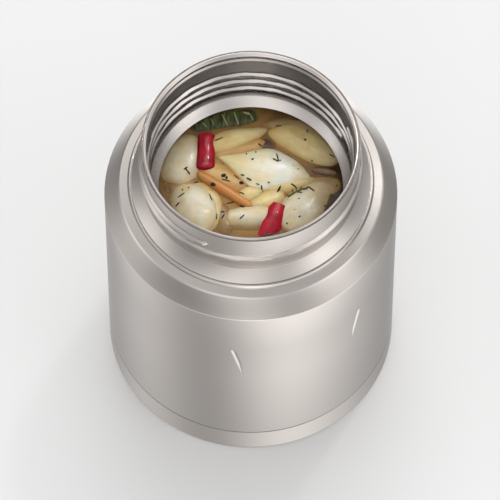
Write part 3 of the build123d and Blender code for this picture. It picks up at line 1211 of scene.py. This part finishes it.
# The longest soaked layers are brown right through
tan_layer = soft_flesh(
    "soaked_onion_layer",
    [(0.05, "#b98d4e"), (0.5, "#c9a565"), (0.95, "#a87b42")],
    "#7f5a33",
    stain_tone="#96713c",
)
rounded_piece(
    "onion_4_layer", tan_layer, "onion",
    tip=(-29.6, 3.4), root=(-15.0, 1.6),
    left=(2.0, 3.6, 4.4, 4.0, 2.4), right=(2.6, 4.6, 5.2, 4.6, 2.8),
    top=0.5, bottom=-3.0, edge=-1.0, seed=23,
)
rounded_piece(
    "onion_5_slice", tan_layer, "onion",
    tip=(-11.0, -3.4), root=(-8.0, -16.4),
    left=(1.6, 2.8, 3.2, 3.0, 1.8), right=(1.6, 2.8, 3.2, 3.0, 1.8),
    top=0.3, bottom=-3.0, edge=-1.0, seed=24,
)
rounded_piece(
    "onion_6_layer", dim_onion, "onion",
    tip=(15.0, 2.4), root=(31.0, 2.0),
    left=(1.6, 3.2, 4.4, 4.6, 3.4), right=(2.0, 3.6, 4.4, 4.4, 3.0),
    top=0.4, bottom=-3.0, edge=-1.0, seed=25,
)
# A flake of the dry outer skin stays a dark reddish brown, and a dark wedge of that brown fills a
# gap between two onions
onion_skin = soft_flesh(
    "brown_onion_skin",
    [(0.05, "#7a5138"), (0.5, "#5f3f30"), (0.95, "#6e4a34")],
    "#4d3222",
    stain_tone="#8a6a6a",
)
rounded_piece(
    "skin_wedge", onion_skin, "onion",
    tip=(4.6, 24.2), root=(4.8, 16.6),
    left=(0.8, 1.8, 2.8, 3.8, 3.4), right=(0.8, 1.8, 2.8, 3.6, 3.2),
    top=0.3, bottom=-1.4, edge=-0.6, seed=17,
)
rounded_piece(
    "skin_flake", onion_skin, "onion",
    tip=(20.6, 8.2), root=(29.2, 6.4),
    left=(0.8, 1.3, 1.4, 1.2, 0.8), right=(0.8, 1.2, 1.3, 1.2, 0.8),
    top=1.4, bottom=-1.0, edge=0.2, seed=18,
)

# ---- Carrot ---------------------------------------------------------------------------------
# A strip cut from a carrot, boiled soft. It lies on the onions, with its lower side in the
# broth.

# Boiled carrot: a dull orange, paler at both ends, with plain fibres along it
carrot_flesh = soft_flesh(
    "boiled_carrot",
    [(0.05, "#cf9350"), (0.4, "#da8a45"), (0.75, "#e58f3e"), (0.95, "#dfab5c")],
    "#b56a2e",
    stain_tone="#cf9a58",
    vein_strength=0.2,
    soak_low=-2.4,
    soak_high=-0.2,
)
rounded_piece(
    "carrot", carrot_flesh, "carrot", "carrot_strip",
    tip=(-18.2, 6.8), root=(0.8, -6.4),
    left=(1.5, 1.9, 1.9, 1.5, 1.2), right=(1.3, 1.8, 1.9, 1.8, 1.3),
    top=1.8, bottom=-1.5, edge=0.2, seed=19,
)

# ---- Peppers --------------------------------------------------------------------------------
# Two pieces cut from a sweet red pepper, whose waxy skin covers thick flesh. One lies among the
# onions at the back, and a flat one floats in front, skin up.

# Waxy skin: deep red, with a sharp shine where it is wet
pepper_skin = new_material("red_pepper_skin")
place = add_node(pepper_skin, "ShaderNodeTexCoord")
ripeness = add_node(
    pepper_skin,
    "ShaderNodeTexNoise",
    {"Scale": 1 / (4 * MM), "Detail": 3},
    {"Vector": (place, "Object")},
)
ripe_stops = [(0.3, "#8a0c1a"), (0.5, "#b00b28"), (0.7, "#c4102e")]
skin_colour = ramp(pepper_skin, ripeness, "Fac", ripe_stops)
dents = add_node(
    pepper_skin,
    "ShaderNodeBump",
    {"Strength": 0.3, "Distance": 0.3 * MM},
    {"Height": (ripeness, "Fac")},
)
skin_shader = add_node(
    pepper_skin,
    "ShaderNodeBsdfPrincipled",
    {
        "Roughness": 0.4,
        "IOR": 1.4,
        "Specular IOR Level": 0.15,
        "Subsurface Weight": 0.1,
        "Subsurface Radius": (1.0, 0.15, 0.1),
        "Subsurface Scale": 1.0 * MM,
        "Coat Weight": 0.6,
        "Coat Roughness": 0.04,
    },
    {"Base Color": (skin_colour, "Color"), "Normal": (dents, "Normal")},
)
add_node(pepper_skin, "ShaderNodeOutputMaterial", links={"Surface": (skin_shader, "BSDF")})

rounded_piece(
    "sweet_pepper_1", pepper_skin, "pepper", "pepper_1",
    tip=(-15.0, 22.4), root=(-15.4, 7.6),
    left=(2.7, 3.0, 2.9, 3.1, 2.9), right=(2.7, 3.0, 3.0, 3.1, 2.9),
    top=2.4, bottom=-0.6, edge=0.6, seed=20,
)


def cut_slab(name, corners, level, wall, bow, end_bow, near_dip):
    """A slab between four corners in mm, bowed across and along, with its near end dipped and
    its cut edges slightly rounded."""
    edge_radius, weld = 0.35, 0.01
    wobble_height, wobble_spacing, wobble_seed = 0.2, 4, 3
    bpy.ops.object.select_all(action="DESELECT")
    bpy.ops.mesh.primitive_grid_add(x_subdivisions=28, y_subdivisions=40, size=2)
    piece = bpy.context.object
    piece.name = name
    far_left, far_right, near_right, near_left = [Vector(corner) for corner in corners]
    for vertex in piece.data.vertices:
        across, along = (vertex.co.x + 1) / 2, (vertex.co.y + 1) / 2
        far = far_left.lerp(far_right, across)
        point = near_left.lerp(near_right, across).lerp(far, along)
        rise = bow * (1 - vertex.co.x**2) + end_bow * (1 - vertex.co.y**2)
        spot = Vector((*point / wobble_spacing, wobble_seed))
        rise += wobble_height * noise.noise(spot) - near_dip * (1 - along) ** 2
        vertex.co = Vector((point.x, point.y, broth_top + level + rise)) * MM
    thick = piece.modifiers.new("wall", "SOLIDIFY")
    thick.thickness = wall * MM
    thick.offset = -1
    soften = piece.modifiers.new("soft_edges", "BEVEL")
    soften.width = edge_radius * MM
    soften.segments = 3
    soften.limit_method = "ANGLE"
    soften.angle_limit = math.radians(60)
    bpy.ops.object.modifier_apply(modifier="wall")
    bpy.ops.object.modifier_apply(modifier="soft_edges")
    bpy.ops.object.mode_set(mode="EDIT")
    bpy.ops.mesh.select_all(action="SELECT")
    bpy.ops.mesh.remove_doubles(threshold=weld * MM)
    bpy.ops.object.mode_set(mode="OBJECT")
    smooth(piece, angle=50)
    return piece


pepper_2 = cut_slab(
    "sweet_pepper_2",
    corners=[(6.8, -4.6), (12.1, -6.6), (10.0, -16.0), (1.8, -17.8)],
    level=0.7,
    wall=3.4,
    bow=1.2,
    end_bow=0.5,
    near_dip=1.2,
)
dress(pepper_2, pepper_skin, "pepper", "pepper_2")

# ---- Leaf -----------------------------------------------------------------------------------
# A limp strip of cooked greens, floating along the back wall. Its pale stalks show through it,
# with a painted glint among them, and are made with the herbs.

# Boiled leaf: dark olive, wet, and lined by its fibres
leaf_green = new_material("cooked_greens")
place = add_node(leaf_green, "ShaderNodeTexCoord")
fibre_place = add_node(
    leaf_green,
    "ShaderNodeMapping",
    {"Scale": (1 / (1.1 * MM), 1 / (6 * MM), 1), "Rotation": (0, 0, -0.3)},
    {"Vector": (place, "Object")},
)
fibres = add_node(
    leaf_green,
    "ShaderNodeTexNoise",
    {"Scale": 1, "Detail": 4, "Roughness": 0.6},
    {"Vector": (fibre_place, "Vector")},
)
greens = [(0.3, "#1f2414"), (0.45, "#3c4225"), (0.6, "#5d6636"), (0.72, "#93945f")]
leaf_colour = ramp(leaf_green, fibres, "Fac", greens)
folds = add_node(
    leaf_green,
    "ShaderNodeBump",
    {"Strength": 0.6, "Distance": 0.3 * MM},
    {"Height": (fibres, "Fac")},
)
leaf_shader = add_node(
    leaf_green,
    "ShaderNodeBsdfPrincipled",
    {"Roughness": 0.35, "IOR": 1.4},
    {"Base Color": (leaf_colour, "Color"), "Normal": (folds, "Normal")},
)
add_node(leaf_green, "ShaderNodeOutputMaterial", links={"Surface": (leaf_shader, "BSDF")})
rounded_piece(
    "leaf", leaf_green, "leaf", "leaf_piece",
    tip=(-20.4, 24.0), root=(2.6, 28.6),
    left=(2.4, 3.6, 4.4, 4.4, 3.2), right=(1.0, 1.4, 1.6, 1.8, 1.2),
    top=0.8, bottom=-0.6, edge=0.2, seed=22,
)

# ---- Herbs ----------------------------------------------------------------------------------
# Dried dill that has swollen in the broth: dark needles, a green sprig and fine crumbs, each
# lying on whatever is under it.

food_slots = ("broth", "onion", "carrot", "pepper", "leaf")
wet_pieces = [piece for piece in bpy.data.objects if piece.get("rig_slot") in food_slots]
surfaces = []
for piece in wet_pieces:
    corners = [vertex.co.copy() for vertex in piece.data.vertices]
    faces = [tuple(face.vertices) for face in piece.data.polygons]
    surfaces.append(BVHTree.FromPolygons(corners, faces))


def top_at(x, y):
    """The height in mm of the uppermost piece, or of the broth, at a place in mm."""
    headroom = 20
    above = Vector((x, y, broth_top + headroom)) * MM
    hits = [surface.ray_cast(above, Vector((0, 0, -1)))[0] for surface in surfaces]
    return max([hit.z / MM for hit in hits if hit], default=broth_top)


def needle(start, end, thickness):
    """A thin stalk in mm from start to end, tapered at both ends and draped on the food."""
    start, end = Vector(start), Vector(end)
    shares = (0, 0.15, 0.5, 0.85, 1)
    widths = (0.35, 0.9, 1, 0.9, 0.3)
    rise = 0.3 * thickness
    line = [start.lerp(end, share) for share in shares]
    line = [Vector((x, y, top_at(x, y) + rise)) for x, y in line]
    run = end - start
    bpy.ops.object.select_all(action="DESELECT")
    bpy.ops.mesh.primitive_circle_add(
        vertices=6,
        radius=widths[0] * thickness / 2 * MM,
        fill_type="NGON",
        location=line[0] * MM,
        rotation=(math.pi / 2, 0, math.atan2(run.y, run.x) + math.pi / 2),
    )
    stalk = bpy.context.object
    bpy.ops.object.mode_set(mode="EDIT")
    for here, there, before, after in zip(line, line[1:], widths, widths[1:]):
        bpy.ops.mesh.extrude_region_move(TRANSFORM_OT_translate={"value": (there - here) * MM})
        bpy.ops.transform.resize(value=(after / before,) * 3)
    bpy.ops.mesh.select_all(action="SELECT")
    bpy.ops.mesh.normals_make_consistent(inside=False)
    bpy.ops.object.mode_set(mode="OBJECT")
    return stalk


def crumb(x, y, size):
    """A flat crumb of the given size in mm, lying on the food."""
    narrowness, flatness = 0.7, 0.5
    rise = 0.1 * size
    bpy.ops.object.select_all(action="DESELECT")
    bpy.ops.mesh.primitive_ico_sphere_add(
        subdivisions=1,
        radius=size / 2 * MM,
        location=Vector((x, y, top_at(x, y) + rise)) * MM,
        rotation=(0, 0, x),
        scale=(1, narrowness, flatness),
    )
    return bpy.context.object


def gathered(name, pieces):
    """Joins pieces into one object whose origin is the jar's."""
    bpy.ops.object.select_all(action="DESELECT")
    for piece in pieces:
        piece.select_set(True)
    bpy.context.view_layer.objects.active = pieces[0]
    bpy.ops.object.join()
    bpy.ops.object.transform_apply(location=True, rotation=True, scale=True)
    piece = bpy.context.object
    piece.name = name
    return piece


# start, end, thickness
dill_needles = [
    ((8.3, 25.2), (10.5, 25.0), 0.4),
    ((-12.4, 18.6), (-9.4, 19.9), 0.4),
    ((2.5, 18.1), (3.8, 17.1), 0.48),
    ((8.7, 13.7), (9.4, 10.2), 0.48),
    ((7.4, 11.3), (9.4, 10.2), 0.48),
    ((9.6, 10.6), (10.2, 10.9), 0.4),
    ((19.2, 23.4), (19.0, 21.9), 0.4),
    ((26.5, 13.4), (28.3, 12.4), 0.4),
    ((-22.3, 8.3), (-20.5, 6.0), 0.48),
    ((-22.6, 7.7), (-21.4, 8.6), 0.56),
    ((-19.2, 3.1), (-17.7, 3.5), 0.4),
    ((-24.7, -3.3), (-22.4, -1.7), 0.4),
    ((-25.4, -6.5), (-24.0, -5.1), 0.48),
    ((-14.0, -1.6), (-13.1, -4.3), 0.4),
    ((-9.9, 4.1), (-6.9, 3.2), 0.4),
    ((-5.7, 5.9), (-3.9, 4.2), 0.4),
    ((-3.5, 5.9), (-2.2, 5.4), 0.48),
    ((-1.5, 4.5), (0.2, 3.4), 0.56),
    ((3.6, 1.5), (3.7, 0.2), 0.56),
    ((1.7, 2.2), (2.9, 1.8), 0.4),
    ((10.1, 1.5), (8.9, -1.0), 0.64),
    ((13.5, 2.4), (15.5, 1.0), 0.48),
    ((18.1, -0.1), (19.4, 1.2), 0.48),
    ((19.4, 1.2), (21.4, -0.9), 0.48),
    ((-8.5, -5.0), (-5.6, -4.2), 0.4),
    ((-4.0, -0.9), (-2.2, -2.3), 0.4),
    ((-3.9, -5.7), (-2.2, -6.7), 0.48),
    ((-11.4, -9.0), (-11.6, -11.3), 0.4),
    ((-10.2, -8.3), (-8.8, -8.2), 0.48),
    ((-9.9, -10.9), (-8.9, -9.2), 0.48),
    ((-3.8, -11.5), (-2.2, -10.0), 0.4),
]
# place, size
dill_crumbs = [
    ((1.7, 14.4), 0.8),
    ((-1.5, 13.9), 0.8),
    ((0.6, 11.2), 1.0),
    ((20.7, 11.5), 0.8),
    ((-23.1, -0.3), 0.8),
    ((-21.0, 0.5), 0.7),
    ((16.2, -3.9), 0.7),
    ((16.4, -10.8), 0.9),
    ((25.0, -5.9), 0.9),
    ((16.0, 7.8), 0.7),
    ((12.2, -13.2), 0.8),
    ((29.0, 1.9), 0.8),
    ((6.0, 2.4), 0.9),
    ((-12.8, 1.6), 2.2),
    ((-3.2, 2.8), 1.9),
    ((-9.2, 5.4), 2.0),
    ((-8.2, 4.6), 1.3),
    ((18.4, 18.8), 1.1),
]
sprig_lines = [
    ((12.4, -2.7), (15.4, -0.6), 0.7),
    ((15.0, -0.9), (18.3, 0.6), 0.7),
    ((14.2, -1.4), (14.0, 0.6), 0.5),
    ((15.6, -0.6), (15.2, 1.4), 0.5),
    ((16.4, -0.2), (17.2, 1.6), 0.5),
    ((15.4, -0.8), (17.4, -1.4), 0.5),
    ((17.0, 0.1), (19.2, 0.2), 0.5),
    ((13.4, -2.0), (11.8, -1.6), 0.5),
]
stalk_and_glint_lines = [
    ((-9.8, 29.6), (-8.1, 25.4), 0.5),
    ((-5.8, 30.6), (-4.2, 25.6), 0.6),
    ((-13.7, 28.0), (-12.5, 25.3), 0.4),
    # This thick pale stroke is a painted glint on the wet leaf
    ((-2.6, 30.4), (-0.2, 29.4), 0.8),
    ((-0.9, 30.6), (0.9, 27.2), 0.4),
    ((-16.6, 26.4), (-15.0, 24.6), 0.4),
]

dill_bits = [needle(*line) for line in dill_needles]
dill_bits += [crumb(*spot, size) for spot, size in dill_crumbs]
fine_crumbs = 70
crumbs_reach = 29
finest, coarsest = 0.15, 0.4
dice = random.Random(5)
for _ in range(fine_crumbs):
    turn, out = dice.uniform(0, 2 * math.pi), crumbs_reach * math.sqrt(dice.random())
    size = dice.uniform(finest, coarsest)
    dill_bits.append(crumb(out * math.cos(turn), out * math.sin(turn), size))

# Dried dill swells nearly black and dull, the sprig is still green, and the leaf's stalks are
# pale and wet, with one thick pale stroke among them that is a painted glint
dried_look = {"Base Color": linear("#26240f"), "Roughness": 0.5, "Specular IOR Level": 0.3}
green_look = {"Base Color": linear("#5b5a22"), "Roughness": 0.45}
stalk_and_glint_look = {"Base Color": linear("#a9ab82"), "Roughness": 0.35}
for name, bits, herb, look in [
    ("dill", dill_bits, "swollen_dried_dill", dried_look),
    ("dill_sprig", [needle(*line) for line in sprig_lines], "green_dill", green_look),
    ("leaf_stalks", [needle(*line) for line in stalk_and_glint_lines], "pale_leaf_stalk_and_glint", stalk_and_glint_look),
]:
    herb_skin = new_material(herb)
    herb_shader = add_node(herb_skin, "ShaderNodeBsdfPrincipled", look)
    add_node(herb_skin, "ShaderNodeOutputMaterial", links={"Surface": (herb_shader, "BSDF")})
    dress(gathered(name, bits), herb_skin, "leaf")

# The steel doesn't pick up the food, just as it doesn't pick up the board
for piece in bpy.data.objects:
    if piece.get("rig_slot") in food_slots:
        piece.visible_glossy = False
